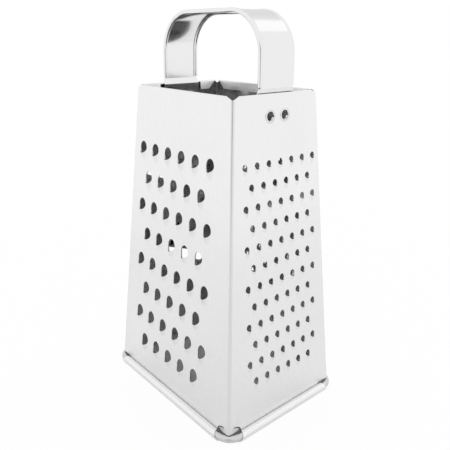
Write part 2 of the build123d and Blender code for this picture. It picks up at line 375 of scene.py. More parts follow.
def polygon(bm: BMesh, points: Iterable[Vector]) -> BMFace:
    """Adds one flat face through points."""
    return bm.faces.new([bm.verts.new(point) for point in points])


def mirrored(half: Sequence[Vector]) -> list[Vector]:
    """The other half of a flat outline, from where the first half ends."""
    return [Vector((-point.x, point.y, 0)) for point in reversed(half)]


def face_outwards(bm: BMesh, probe: Vector) -> None:
    """Gives an open skin one direction all over.

    Args:
        bm: The skin.
        probe: A point outside it. The face that lies nearest to it looks towards it.
    """
    bmesh.ops.recalc_face_normals(bm, faces=bm.faces)
    near = min(bm.faces, key=lambda face: (face.calc_center_median() - probe).length)
    if (probe - near.calc_center_median()).dot(near.normal) < 0:
        bmesh.ops.reverse_faces(bm, faces=bm.faces)


def thicken(bm: BMesh, thickness: float) -> list[BMFace]:
    """Gives an open skin its thickness, on the side away from where its faces look.

    A slim triangle can throw its new corner far off. Such a corner is put back straight
    behind its own one.

    Args:
        bm: The skin.
        thickness: Thickness of the sheet.

    Returns:
        The new faces, which are the back of the sheet and its edges.
    """
    label = bm.verts.layers.int.new("pair")
    ground = bm.verts.layers.float.get(GROUND)
    skin = set(bm.faces)
    outer = bm.verts[:]
    known = set(outer)
    bm.normal_update()
    straight = [vert.co - thickness * vert.normal for vert in outer]
    for number, vert in enumerate(outer):
        vert[label] = number
    bmesh.ops.solidify(bm, geom=bm.faces[:], thickness=thickness)
    for vert in bm.verts:
        if vert in known:
            continue
        kept = outer[vert[label]]
        if (vert.co - kept.co).length > MOST_OFFSET * thickness:
            vert.co = straight[vert[label]]
        if ground is not None and kept[ground] > 0:
            vert.co = vert.co.lerp(kept.co, kept[ground])
    bm.verts.layers.int.remove(label)
    return [face for face in bm.faces if face not in skin]


# Punches


class Punch:
    """Something cut or pressed in a flat wall, as rings of points round its opening."""

    sides: int = 24
    steps: int = 2

    def point(self, turn: float, step: int) -> Vector:
        """Point of a ring.

        Args:
            turn: Angle round the opening, from the wall's x.
            step: Number of the ring, 0 at the opening's edge.

        Returns:
            The point, in the punch's own frame.
        """
        raise NotImplementedError

    def sharpening(self, turn: float) -> float:
        """Share of the sheet that is ground off the opening's edge at an angle."""
        return 0.0

    def template(self) -> bpy.types.Mesh:
        """Builds the punch once, with its outermost ring marked as a seam.

        Returns:
            The mesh, to be copied into a wall.
        """
        bm = bmesh.new()
        turn = bm.verts.layers.float.new("turn")
        ground = bm.verts.layers.float.new(GROUND)
        ring = bmesh.ops.create_circle(bm, cap_ends=False, segments=self.sides, radius=1.0)["verts"]
        for vert in ring:
            vert[turn] = math.atan2(vert.co.y, vert.co.x)
            vert.co = self.point(vert[turn], 0)
            vert[ground] = self.sharpening(vert[turn])
        edges = bm.edges[:]
        for step in range(1, self.steps):
            verts, edges = extruded(bm, edges)
            for vert in verts:
                vert.co = self.point(vert[turn], step)
                vert[ground] = 0.0
        for edge in edges:
            edge.seam = True
        return as_mesh(bm, "punch")

    def press(self, bm: BMesh, places: Iterable[Matrix]) -> None:
        """Copies the punch to its places on a wall.

        Args:
            bm: The wall, in its own frame.
            places: Where each copy goes.
        """
        template = self.template()
        for place in places:
            copy = template.copy()
            copy.transform(place)
            add_mesh(bm, copy)
        bpy.data.meshes.remove(template)


@dataclass
class ShreddingTooth(Punch):
    """An opening whose lower edge is pressed out into a hood with its lip facing up."""

    half_width: float
    top: float
    drop: float
    lip: float
    foot: float
    flank: float
    sides: int = 28
    fade: float = 1.55
    swell: float = 2.3
    ground: float = 0.85
    shares: tuple[float, ...] = (0.0, 0.07, 0.17, 0.3, 0.47, 0.65, 0.83, 1.0, 1.12)

    @property
    def steps(self) -> int:
        """Number of rings."""
        return len(self.shares)

    def point(self, turn: float, step: int) -> Vector:
        """Point of a ring, on the sheet above the opening and on the hood below it."""
        share = self.shares[step]
        across = math.cos(turn)
        rise = math.sin(turn)
        above = rise >= 0
        height = self.top if above else self.drop
        outer_height = self.top + self.flank if above else self.foot
        edge = Vector((self.half_width * across, height * rise, 0))
        outer = Vector(((self.half_width + self.flank) * across, outer_height * rise, 0))
        spot = edge.lerp(outer, share)
        if not above:
            spot.z = self.lip * (-rise) ** self.swell * max(0.0, 1 - share) ** self.fade
        return spot

    def sharpening(self, turn: float) -> float:
        """Share of the sheet that is ground off, from none at the sides to most at the lip."""
        return self.ground * min(1.0, 3 * max(0.0, -math.sin(turn)))


@dataclass
class RaspPoint(Punch):
    """A hole torn open by a four-sided point, with four sharp leaves round it."""

    hole: float = 1.2 * MM
    base: float = 1.95 * MM
    leaf: float = 0.85 * MM
    tear: float = 0.25 * MM
    leaf_reach: float = 0.9
    tear_reach: float = 1.25
    flat_reach: float = 1.15
    middle_rise: float = 0.42
    sides: int = 16
    steps: int = 4

    def point(self, turn: float, step: int) -> Vector:
        """Point of a ring. The leaves stand between the tears, a quarter turn apart."""
        leaf = 0.5 + 0.5 * math.cos(4 * turn)
        reach = self.tear_reach + (self.leaf_reach - self.tear_reach) * leaf
        radius, height = (
            (self.hole * reach, self.tear + (self.leaf - self.tear) * leaf),
            (0.5 * (self.hole + self.base), self.middle_rise * self.leaf),
            (self.base, 0.0),
            (self.base * self.flat_reach, 0.0),
        )[step]
        return Vector((radius * math.cos(turn), radius * math.sin(turn), height))


@dataclass
class SlicingSlot(Punch):
    """A long slot with rounded corners, whose lower edge is pressed out into a blade."""

    below: float
    half_length: float = 23.0 * MM
    above: float = 2.9 * MM
    margin: float = 1.2 * MM
    squareness: float = 0.22
    straight_share: float = 0.75
    blade: float = 2.9 * MM
    ramp: float = 8.0 * MM
    end_ramp: float = 3.5 * MM
    sides: int = 96
    shares: tuple[float, ...] = (0.0, 0.06, 0.2, 0.36, 0.52, 0.68, 0.84, 1.0, 1.08)

    @property
    def steps(self) -> int:
        """Number of rings."""
        return len(self.shares)

    @property
    def half_height(self) -> float:
        """Half of the slot's height."""
        return 0.5 * (self.above + self.below)

    def edge(self, turn: float, grown: float) -> Vector:
        """Point of the slot's outline.

        Args:
            turn: Angle that picks the point.
            grown: How far the outline is grown outwards.

        Returns:
            The point on a rectangle with rounded corners.
        """

        def squared(value: float) -> float:
            """Pushes a sine or cosine towards 1, which squares the outline's corners."""
            if abs(value) <= 1e-9:
                return 0.0
            return math.copysign(abs(value) ** self.squareness, value)

        half = Vector((self.half_length + grown, self.half_height + grown, 0))
        across, rise = math.cos(turn), math.sin(turn)
        spread = math.asin(max(-1.0, min(1.0, across))) / (math.pi / 2)
        straight = Vector((spread * half.x, math.copysign(half.y, rise), 0))
        round_end = Vector((squared(across) * half.x, squared(rise) * half.y, 0))
        blend = (abs(spread) - self.straight_share) / (1 - self.straight_share)
        return straight.lerp(round_end, max(0.0, min(1.0, blend)))

    def point(self, turn: float, step: int) -> Vector:
        """Point of a ring, flat above the slot and raised below it."""
        share = self.shares[step]
        edge = self.edge(turn, 0)
        outer = self.edge(turn, self.margin)
        depth = max(0.0, min(1.0, -edge.y / self.half_height))
        outer.y -= (self.ramp - self.margin) * depth
        spot = edge.lerp(outer, share)
        reach = min(1.0, (self.half_length - abs(edge.x)) / self.end_ramp)
        swell = math.sin(0.5 * math.pi * max(0.0, reach))
        slope = max(0.0, 1 - share)
        spot.z = self.blade * swell * depth * (slope + 0.5 * slope * share)
        return spot + Vector((0, 0.5 * (self.above - self.below), 0))


@dataclass
class RoundHole(Punch):
    """A plain round hole, with a flat margin round it."""

    radius: float = 2.55 * MM
    margin: float = 0.4 * MM
    sides: int = 28

    def point(self, turn: float, step: int) -> Vector:
        """Point of a ring."""
        radius = self.radius + step * self.margin
        return Vector((radius * math.cos(turn), radius * math.sin(turn), 0))


@dataclass(frozen=True)
class ToothGrid:
    """Rows of teeth that are one short and half a pitch over by turns."""

    rows: int
    columns: int
    pitch: float
    row_pitch: float
    drop: float
    offset: float = 0.0

    def places(self, crest: float) -> list[Matrix]:
        """Places of the teeth on a wall.

        Args:
            crest: Height of the wall's top edge, up the wall.

        Returns:
            One matrix for each tooth.
        """
        made = []
        for row in range(self.rows):
            count = self.columns - row % 2
            level = crest - self.drop - row * self.row_pitch
            for column in range(count):
                across = self.offset + (column - (count - 1) / 2) * self.pitch
                made.append(Matrix.Translation((across, level, 0)))
        return made


def rivet_holes(sizes: SheetSizes, level: float) -> tuple[Punch, list[Matrix]]:
    """The holes for the two rivets of one leg, at a level up the wall or the leg."""
    offset = sizes.rivet_offset
    return RoundHole(), [Matrix.Translation((across, level, 0)) for across in (-offset, offset)]


def fill_punched(
    bm: BMesh, sheet: BMFace, punches: Iterable[tuple[Punch, list[Matrix]]]
) -> None:
    """Fills a flat face anew, less what is punched in it.

    Args:
        bm: The shape.
        sheet: The face.
        punches: Each punch with its places.
    """
    for edge in sheet.edges:
        edge.seam = True
    bmesh.ops.delete(bm, geom=[sheet], context="FACES_ONLY")
    for punch, places in punches:
        punch.press(bm, places)
    rims = [edge for edge in bm.edges if edge.seam]
    bmesh.ops.triangle_fill(
        bm, use_beauty=True, use_dissolve=False, edges=rims, normal=Vector((0, 0, 1))
    )


# Body


class WallSkin:
    """Outer face of one wall in its own frame, with its openings, rolled rim and hem."""

    roll_steps = 22
    roll_end_steps = 4
    hem_steps = 8
    slots_middle = 0.502
    slot_slant = math.radians(20)
    # Rise of each slot's middle over the middle of both, and its opening below that
    slots = ((-24.2 * MM, 4.2 * MM), (24.2 * MM, 2.75 * MM))
    patterns: dict[Side, tuple[Punch, ToothGrid]] = {
        Side.COARSE: (
            ShreddingTooth(
                half_width=2.8 * MM,
                top=3.45 * MM,
                drop=2.9 * MM,
                lip=1.75 * MM,
                foot=6.9 * MM,
                flank=0.6 * MM,
            ),
            ToothGrid(8, 6, 11.15 * MM, 15.62 * MM, 32.7 * MM, -2.8 * MM),
        ),
        Side.FINE: (
            ShreddingTooth(
                half_width=1.52 * MM,
                top=1.85 * MM,
                drop=1.42 * MM,
                lip=1.1 * MM,
                foot=4.0 * MM,
                flank=0.45 * MM,
                sides=20,
                shares=(0.0, 0.07, 0.22, 0.42, 0.62, 0.82, 1.0, 1.15),
            ),
            ToothGrid(12, 7, 7.6 * MM, 9.65 * MM, 32.4 * MM, 1.2 * MM),
        ),
        Side.RASP: (RaspPoint(), ToothGrid(12, 7, 7.6 * MM, 9.3 * MM, 30.8 * MM)),
    }

    def __init__(self, corner: Corner, sizes: SheetSizes) -> None:
        """Starts with no faces.

        Args:
            corner: The bend at the wall's right-hand end.
            sizes: Sizes of the sheet.
        """
        self.corner = corner
        self.wall = corner.first
        self.sizes = sizes
        self.bm = bmesh.new()

    def slant_end(self, height: float) -> float:
        """Half length of the hem at a height on the outer face, between the V notches."""
        wall = self.wall
        fall = (wall.crest - height) * (wall.notch_width + self.sizes.thickness)
        return wall.top_corner - wall.notch_width + fall / self.sizes.notch_depth

    def half_outline(self, slit: Sequence[tuple[float, float]]) -> list[Vector]:
        """Right half of the outline of the wall's flat part.

        Args:
            slit: The relief beside the roll's end, in mm across and up from the roll's end.

        Returns:
            The points from the foot to the top.
        """
        sizes, wall = self.sizes, self.wall
        low, high = self.corner.ends
        fold = wall.crest - sizes.hem_radius
        roll_end = wall.foot_corner - sizes.rim_corner_gap
        half = [Vector((roll_end + across * MM, rise * MM, 0)) for across, rise in slit]
        half += [
            Vector((roll_end + sizes.relief_width, sizes.relief_height - wall.foot, 0)),
            Vector((low.x, low.y, 0)),
            Vector((high.x, high.y, 0)),
            Vector((self.slant_end(fold), fold, 0)),
        ]
        if wall.is_end:
            half.append(Vector((sizes.leg_notch_half, fold, 0)))
        return half

    def outline(self) -> list[Vector]:
        """Outline from the foot's right end, with the curved slits at the front corner only."""
        slit, plain = self.sizes.relief_slit, self.sizes.relief_plain
        right = self.half_outline(slit if self.wall.side is Side.COARSE else plain)
        left = self.half_outline(slit if self.wall.side is Side.FINE else plain)
        return right + mirrored(left)

    def punches(self) -> list[tuple[Punch, list[Matrix]]]:
        """What is cut and pressed in the wall.

        Returns:
            Pairs of a punch and its places.
        """
        crest = self.wall.crest
        found: list[tuple[Punch, list[Matrix]]] = []
        if self.wall.side in self.patterns:
            punch, grid = self.patterns[self.wall.side]
            found.append((punch, grid.places(crest)))
        if self.wall.side is Side.SLICER:
            slant = Matrix.Rotation(self.slot_slant, 4, "Z")
            for rise, below in self.slots:
                place = Matrix.Translation((0, self.slots_middle * crest + rise, 0))
                found.append((SlicingSlot(below=below), [place @ slant]))
        if self.wall.is_end:
            found.append(rivet_holes(self.sizes, crest - self.sizes.rivet_drop))
        return found

    def flat_part(self) -> None:
        """Fills the outline, less its openings."""
        sheet = polygon(self.bm, self.outline())
        bmesh.ops.inset_region(
            self.bm, faces=[sheet], thickness=self.sizes.border, depth=0, use_even_offset=True
        )
        fill_punched(self.bm, sheet, self.punches())

    def border_edges(self, level: float, half: float) -> list[BMEdge]:
        """Edges of the outline that lie along a level.

        Args:
            level: Distance up the wall.
            half: Half of the length that counts.

        Returns:
            The edges.
        """
        return [
            edge
            for edge in self.bm.edges
            if edge.is_boundary
            and all(
                abs(vert.co.y - level) < WELD and abs(vert.co.x) < half + WELD
                for vert in edge.verts
            )
        ]

    def roll(self) -> None:
        """Rolls the wall's foot outwards round the wire."""
        sizes = self.sizes
        edges = self.border_edges(0.0, self.wall.foot_corner - sizes.rim_corner_gap)
        first = self.roll_end_steps
        for step in range(1, self.roll_steps + 1):
            angle = math.pi + sizes.roll_turn * step / self.roll_steps
            if step <= first:
                start, end, share = sizes.rim_corner_gap, sizes.rim_outer_gap, step / first
            else:
                start, end = sizes.rim_outer_gap, sizes.rim_edge_gap
                share = (step - first) / (self.roll_steps - first)
            half = self.wall.foot_corner - (start + (end - start) * share)
            verts, edges = extruded(self.bm, edges)
            for vert in verts:
                vert.co.x = math.copysign(half, vert.co.x)
                vert.co.y = sizes.roll_offset * math.sin(angle)
                vert.co.z = sizes.roll_offset * (1 + math.cos(angle))

    def beside_leg(self, vert: BMVert) -> bool:
        """Whether a point of the hem is free of the gap for the handle's leg."""
        return abs(vert.co.x) > self.sizes.leg_notch_half + WELD

    def hem(self) -> None:
        """Folds the wall's top edge inwards, with mitred ends and a gap at the handle's leg."""
        sizes, wall = self.sizes, self.wall
        fold = wall.crest - sizes.hem_radius
        mitre = wall.top_corner - wall.notch_width - wall.crest
        edges = self.border_edges(fold, wall.top_corner)
        turn = math.pi - sizes.hem_lean
        for step in range(1, self.hem_steps + 1):
            angle = math.pi - turn * step / self.hem_steps
            height = fold + sizes.hem_radius * math.sin(angle)
            inner = angle < math.pi / 2
            half = mitre + height if inner else self.slant_end(height)
            verts, edges = extruded(self.bm, edges)
            for vert in verts:
                if self.beside_leg(vert):
                    vert.co.x = math.copysign(half, vert.co.x)
                vert.co.y = height
                vert.co.z = -sizes.hem_radius * (1 + math.cos(angle))
        if wall.is_end:
            edges = [edge for edge in edges if any(map(self.beside_leg, edge.verts))]
        verts, edges = extruded(self.bm, edges)
        for vert in verts:
            vert.co.y -= math.cos(sizes.hem_lean) * sizes.hem_flap
            vert.co.z -= math.sin(sizes.hem_lean) * sizes.hem_flap
            if self.beside_leg(vert):
                vert.co.x = math.copysign(mitre + vert.co.y, vert.co.x)

    def build(self) -> bpy.types.Mesh:
        """Builds the wall with its rim and hem.

        Returns:
            The skin as a mesh, in the row frame.
        """
        self.flat_part()
        self.roll()
        self.hem()
        bmesh.ops.transform(self.bm, matrix=self.wall.matrix, verts=self.bm.verts)
        return as_mesh(self.bm, f"wall_{self.wall.side.name.lower()}")


class GraterBody:
    """The sheet of the body: four walls, the bends between them and the lap."""

    bend_steps = 6
    roll_reach = 0.1 * MM
    # A point a little outside the coarse wall: how far under its top edge, and how far out
    probe_place = (20 * MM, 5 * MM)

    def __init__(self, sizes: SheetSizes) -> None:
        """Sets the walls and corners out.

        Args:
            sizes: Sizes of the sheet.
        """
        self.sizes = sizes
        self.walls = {side: Wall(side, sizes) for side in Side}
        around = list(self.walls.values())
        self.corners = [
            Corner(first, second, sizes) for first, second in zip(around, around[1:] + around[:1])
        ]

    def bend(self, bm: BMesh, corner: Corner) -> None:
        """Joins two walls by a rounded bend.

        Args:
            bm: The body's skin.
            corner: The bend.
        """
        sizes = self.sizes
        low = bm.verts.new(corner.point(sizes.tip_height, 0))
        high = bm.verts.new(corner.point(sizes.notch_level, 0))
        edges = [bm.edges.new((low, high))]
        middle = 0.5 * (sizes.tip_height + sizes.notch_level)
        for step in range(1, self.bend_steps + 1):
            share = step / self.bend_steps
            verts, edges = extruded(bm, edges)
            # The middle of each bend takes the darker bend finish, a painted dark reflection line
            if 1 < step < self.bend_steps:
                for face in edges[0].link_faces:
                    face.material_index = Skin.BEND
            for vert in verts:
                upper = vert.co.z > middle
                level = sizes.notch_level if upper else sizes.tip_height
                vert.co = corner.point(level, share)
                if upper:
                    vert.co.z -= sizes.bend_dip * math.sin(math.pi * share)

    def lap(self, bm: BMesh) -> None:
        """Adds the end of the sheet that laps inside the back corner, as a skin of its own."""
        sizes = self.sizes
        wall = self.walls[Side.RASP]
        low, high = next(corner.ends for corner in self.corners if corner.first is wall)
        depth = -sizes.thickness - sizes.lap_gap
        foot = low.y + sizes.lap_rise
        top = wall.crest - sizes.hem_flap - 3 * sizes.hem_radius
        upper = low.lerp(high, (top - low.y) / (high.y - low.y))
        strip = [
            Vector((low.x - sizes.lap_width, foot, depth)),
            Vector((low.x, foot, depth)),
            Vector((upper.x, upper.y, depth)),
            Vector((upper.x - sizes.lap_width, upper.y, depth)),
        ]
        face = polygon(bm, [wall.matrix @ point for point in strip])
        if face.normal.dot(wall.out) < 0:
            face.normal_flip()

    def in_roll(self, spot: Vector) -> bool:
        """Whether a point belongs to the rolled rim, outside the walls."""
        sizes = self.sizes
        return spot.z < sizes.rim_centre + sizes.rim_radius and any(
            wall.to_local(spot).z > self.roll_reach for wall in self.walls.values()
        )

    def build(self, finish: "SteelFinish", back: "SteelFinish", bend: "SteelFinish") -> None:
        """Builds the whole sheet.

        Args:
            finish: Finish of its outer side and of the rolled rim.
            back: Finish of its inner side and its cut edges, darker than the outer side as painted
                shade for the box's inside.
            bend: Finish of the four bends, darker than the outer side as a painted dark reflection
                line down each corner.
        """
        bm = bmesh.new()
        for corner in self.corners:
            add_mesh(bm, WallSkin(corner, self.sizes).build())
        for corner in self.corners:
            self.bend(bm, corner)
        bmesh.ops.remove_doubles(bm, verts=bm.verts, dist=WELD)
        front = self.walls[Side.COARSE]
        under, out = self.probe_place
        face_outwards(bm, front.matrix @ Vector((0, front.crest - under, out)))
        self.lap(bm)
        # The back and the cut edges take the darker back finish, painted shade for the box's inside
        for face in thicken(bm, self.sizes.thickness):
            rolled = self.in_roll(face.calc_center_median())
            face.material_index = Skin.OUTER if rolled else Skin.BACK
        for vert in bm.verts:
            vert.co.z = max(0.0, vert.co.z)
        piece = new_mesh_object(bm, "pressed_sheet_body", "body_steel", finish, back, bend)
        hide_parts("grater_body")


# Rim wire


@dataclass
class RimWire:
    """The wire inside the rolled rim, bent round at the four corners."""

    sizes: SheetSizes
    radius: float = 1.65 * MM
    bend_radius: float = 8.2 * MM
    around: int = 24
    bend_steps: int = 14

    def build(self, finish: "SteelFinish") -> None:
        """Sweeps the wire round the rim.

        Args:
            finish: Its finish.
        """
        width, depth = (
            wall.foot_half + self.sizes.roll_offset * math.cos(wall.lean)
            for wall in (Wall(Side.FINE, self.sizes), Wall(Side.COARSE, self.sizes))
        )
        level = self.sizes.rim_centre
        bm = bmesh.new()
        start = Matrix.Translation((width, -depth + self.bend_radius, level)) @ Matrix.Rotation(
            math.pi / 2, 4, "X"
        )
        bmesh.ops.create_circle(
            bm, cap_ends=False, segments=self.around, radius=self.radius, matrix=start
        )
        edges = bm.edges[:]
        runs = (2 * (depth - self.bend_radius), 2 * (width - self.bend_radius)) * 2
        heading = Vector((0, 1, 0))
        spot = start.translation.copy()
        quarter = Matrix.Rotation(math.pi / 2, 3, "Z")
        for run in runs:
            verts, edges = extruded(bm, edges)
            bmesh.ops.translate(bm, verts=verts, vec=heading * run)
            spot += heading * run
            inward = quarter @ heading
            centre = spot + inward * self.bend_radius
            axis = Vector((0, 0, 1))
            edges = spun(bm, edges, centre, axis, math.pi / 2, self.bend_steps)
            spot += (heading + inward) * self.bend_radius
            heading = inward
        bmesh.ops.remove_doubles(bm, verts=bm.verts, dist=WELD)
        bmesh.ops.recalc_face_normals(bm, faces=bm.faces)
        piece = new_mesh_object(bm, "bent_rim_wire", "wire_steel", finish)
        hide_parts("rim_wire")


# Handle


class BentLine:
    """A line in the XZ plane made of straight runs with rounded joints."""

    joint_steps = 3

    def __init__(self, points: Sequence[tuple[float, float]], radius: float) -> None:
        """Rounds the joints.

        Args:
            points: Corners of the line, from its start.
            radius: Radius of each joint.
        """
        self.marks: list[float] = []
        self.spots: list[Vector] = []
        corners = [Vector((x, 0, z)) for x, z in points]
        line = [corners[0]]
        for before, here, after in zip(corners, corners[1:], corners[2:]):
            into = (here - before).normalized()
            away = (after - here).normalized()
            back = radius * math.tan(into.angle(away) / 2)
            first = here - into * back
            last = here + away * back
            for step in range(self.joint_steps + 1):
                share = step / self.joint_steps
                line.append(first.lerp(here, share).lerp(here.lerp(last, share), share))
        line.append(corners[-1])
        length = 0.0
        for index, spot in enumerate(line):
            if index:
                length += (spot - line[index - 1]).length
            self.marks.append(length)
            self.spots.append(spot)

    @property
    def length(self) -> float:
        """Length of the whole line."""
        return self.marks[-1]

    def at(self, distance: float) -> Vector:
        """Point of the line at a distance from its start."""
        for index in range(1, len(self.marks)):
            if distance <= self.marks[index] + 1e-9:
                run = self.marks[index] - self.marks[index - 1]
                share = (distance - self.marks[index - 1]) / run if run else 0.0
                return self.spots[index - 1].lerp(self.spots[index], share)
        return self.spots[-1].copy()


@dataclass
class StrapHandle:
    """A strap with curled edges, bent into an arch, with a flat leg at each end."""

    sizes: SheetSizes
    sheet: float = 0.6 * MM
    width: float = 22.8 * MM
    half_span: float = 37.9 * MM
    top: float = 201.65 * MM
    bend_radius: float = 21.0 * MM
    curl_radius: float = 1.1 * MM
    curl_gap: float = 0.1 * MM
    curl_start: float = 2.9 * MM
    curl_proud: float = 0.45 * MM
    curl_opening: float = math.radians(-140)
    groove: float = 1.35 * MM
    # The groove beside each curl, in shares of its width and of the curl's height
    groove_line: tuple[tuple[float, float], ...] = ((0.83, 1.0), (0.7, 0.96))
    clearance: float = 0.05 * MM
    leg_depth: float = 16.5 * MM
    leg_flare: float = 0.2 * MM
    leg_corner: float = 3.0 * MM
    # The leg's edge under the curl, in mm beyond the strap's half width and up
    leg_shoulder: tuple[tuple[float, float], ...] = ((-0.9, -0.2), (-0.2, -0.9), (0.08, -2.0))
    flare_depth: float = 4.0 * MM
    joggle_depth: float = 5.8 * MM
    joggle_radius: float = 0.8 * MM
    # How far down and in from the top edge the leg passes it, and where it is straight below
    pass_point: tuple[float, float] = (-0.4 * MM, 0.95 * MM)
    neck_run: tuple[float, float] = (0.5 * MM, 3.2 * MM)
    neck: float = 1.65 * MM
    curve_share: float = 0.8
    bend_steps: int = 20
    curl_steps: int = 14
    corner_steps: int = 6
    search_steps: int = 400

    @property
    def curl_foot(self) -> float:
        """Height at which the curled edges begin."""
        return self.sizes.height + self.curl_start

    @property
    def flat_half(self) -> float:
        """Half width of the strap's flat middle, between its two curled edges."""
        return self.width / 2 - self.curl_radius - self.groove

    def profile(self) -> list[Vector]:
        """Outer face of the strap across its width, at the foot of the +X side.

        Returns:
            Points from the -Y curl's inner end to the +Y curl's inner end.
        """
        reach = self.width / 2 - self.curl_radius
        start = self.curl_opening
        closed = self.curl_proud + self.sheet + self.curl_gap
        stop = math.pi - math.asin(closed / self.curl_radius - 1)
        curl = [(self.flat_half, self.curl_proud)]
        curl += [
            (reach - share * self.groove, rise * self.curl_proud)
            for share, rise in self.groove_line
        ]
        for step in range(self.curl_steps + 1):
            angle = start + (stop - start) * step / self.curl_steps
            across = reach + self.curl_radius * math.cos(angle)
            inward = self.curl_radius * (1 + math.sin(angle))
            curl.append((across, inward))
        flat = [(self.flat_half * share, self.curl_proud) for share in (0.5, 0.0, -0.5)]
        half = list(reversed(curl)) + flat + [(-across, inward) for across, inward in curl]
        return [
            Vector((self.half_span - inward, across, self.curl_foot)) for across, inward in half
        ]

    def arch(self, bm: BMesh) -> None:
        """Sweeps the curled profile up one side, over the top and down the other.

        Args:
            bm: The handle's skin.
        """
        verts = [bm.verts.new(point) for point in self.profile()]
        edges = [bm.edges.new(pair) for pair in zip(verts, verts[1:])]
        shoulder = self.top - self.bend_radius
        inset = self.half_span - self.bend_radius
        runs = (
            (Vector((0, 0, shoulder - self.curl_foot)), inset),
            (Vector((-2 * inset, 0, 0)), -inset),
            (Vector((0, 0, self.curl_foot - shoulder)), None),
        )
        for run, centre in runs:
            verts, edges = extruded(bm, edges)
            bmesh.ops.translate(bm, verts=verts, vec=run)
            if centre is not None:
                middle = Vector((centre, 0, shoulder))
                axis = Vector((0, -1, 0))
                edges = spun(bm, edges, middle, axis, math.pi / 2, self.bend_steps)

    def leg_line(self) -> BentLine:
        """Outer face of the +X leg, from the curls' foot down to the leg's end."""
        wall = Wall(Side.FINE, self.sizes)

        def on_leg(drop: float, inward: float) -> tuple[float, float]:
            """Point at a distance down the fine wall and inwards from it."""
            spot = wall.origin + wall.up * (wall.crest - drop) - wall.out * inward
            return spot.x, spot.z

        seat = self.sizes.thickness + self.clearance
        start = self.half_span - self.curl_proud
        points = (
            (start, self.curl_foot),
            (start, self.sizes.height + self.curve_share * self.curl_start),
            on_leg(*self.pass_point),
            *(on_leg(drop, self.neck) for drop in self.neck_run),
            *(on_leg(drop, seat) for drop in (self.joggle_depth, self.leg_depth)),
        )
        return BentLine(points, self.joggle_radius)

    def rivet_distance(self, line: BentLine) -> float:
        """Distance along the leg's line at which the rivets go through."""
        wall = Wall(Side.FINE, self.sizes)
        level = (wall.origin + wall.up * (wall.crest - self.sizes.rivet_drop)).z
        marks = (line.length * step / self.search_steps for step in range(self.search_steps + 1))
        return min(marks, key=lambda distance: abs(line.at(distance).z - level))

    def leg(self, bm: BMesh, side: int) -> None:
        """Adds one flat leg, with its holes and rounded foot, and bends it to the wall.

        Args:
            bm: The handle's skin.
            side: 1 for the fine wall, -1 for the slicer.
        """
        line = self.leg_line()
        flat = bmesh.new()
        half = self.width / 2
        wide = half + self.leg_flare
        right = [Vector((self.flat_half, 0, 0))]
        right += [Vector((half + out * MM, rise * MM, 0)) for out, rise in self.leg_shoulder]
        right.append(Vector((wide, -self.flare_depth, 0)))
        corner = Vector((wide - self.leg_corner, self.leg_corner - line.length, 0))
        for step in range(self.corner_steps + 1):
            angle = -0.5 * math.pi * step / self.corner_steps
            towards = Vector((math.cos(angle), math.sin(angle), 0))
            right.append(corner + towards * self.leg_corner)
        across = [Vector((self.flat_half * share, 0, 0)) for share in (-0.5, 0.0, 0.5)]
        sheet = polygon(flat, right + mirrored(right) + across)
        fill_punched(flat, sheet, [rivet_holes(self.sizes, -self.rivet_distance(line))])
        for mark in line.marks[1:-1]:
            bmesh.ops.bisect_plane(
                flat,
                geom=flat.verts[:] + flat.edges[:] + flat.faces[:],
                dist=0.05 * MM,
                plane_co=Vector((0, -mark, 0)),
                plane_no=Vector((0, 1, 0)),
            )
        for vert in flat.verts:
            spot = line.at(-vert.co.y)
            vert.co = Vector((side * spot.x, vert.co.x, spot.z))
        add_mesh(bm, as_mesh(flat, "leg"))

    def build(self, finish: "SteelFinish") -> None:
        """Builds the handle.

        Args:
            finish: Its finish.
        """
        bm = bmesh.new()
        self.arch(bm)
        for side in (1, -1):
            self.leg(bm, side)
        bmesh.ops.remove_doubles(bm, verts=bm.verts, dist=WELD)
        face_outwards(bm, Vector((0, 0, 1)))
        thicken(bm, self.sheet)
        piece = new_mesh_object(bm, "curled_strap_handle", "handle_steel", finish)
        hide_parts("handle")


# Rivets


@dataclass
class HollowRivet:
    """A hollow rivet, rolled over on both sides of the wall and the leg."""

    sizes: SheetSizes
    bore: float = 2.2 * MM
    shank: float = 2.5 * MM
    flange: float = 3.3 * MM
    flange_height: float = 0.35 * MM
    grip: float = 1.15 * MM
    around: int = 40

    def profile(self) -> list[Vector]:
        """Closed outline of the rivet's wall, with x as radius and z along its axis."""
        lip = self.flange_height
        outer = [
            (self.bore, -0.55 * lip),
            (self.bore + 0.05 * MM, 0.2 * lip),
            (self.bore + 0.17 * MM, 0.65 * lip),
            (self.bore + 0.36 * MM, 0.92 * lip),
            (self.bore + 0.58 * MM, lip),
            (self.flange - 0.3 * MM, 0.86 * lip),
            (self.flange - 0.08 * MM, 0.5 * lip),
            (self.flange, 0.12 * lip),
            (self.flange - 0.03 * MM, 0.0),
            (self.shank, 0.0),
        ]
        inner = [(radius, -self.grip - height) for radius, height in reversed(outer[1:])]
        return [Vector((radius, 0, height)) for radius, height in outer + inner]

    def build(self, node: str, side: Side, offset: float, finish: "SteelFinish") -> None:
        """Builds one rivet at its place.

        Args:
            node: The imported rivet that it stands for.
            side: The wall that it goes through.
            offset: Its place along that wall.
            finish: Its finish.
        """
        wall = Wall(side, self.sizes)
        bm = bmesh.new()
        verts = [bm.verts.new(point) for point in self.profile()]
        edges = [bm.edges.new(pair) for pair in zip(verts, verts[1:] + verts[:1])]
        centre, axis = Vector((0, 0, 0)), Vector((0, 0, 1))
        spun(bm, verts + edges, centre, axis, 2 * math.pi, self.around, merge=True)
        bmesh.ops.remove_doubles(bm, verts=bm.verts, dist=WELD)
        level = wall.crest - self.sizes.rivet_drop
        place = wall.matrix @ Matrix.Translation((offset, level, 0))
        bmesh.ops.transform(bm, matrix=place, verts=bm.verts)
        bmesh.ops.recalc_face_normals(bm, faces=bm.faces)
        piece = new_mesh_object(bm, f"hollow_{node}", "rivet_steel", finish)
        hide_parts(node)


# Finishes


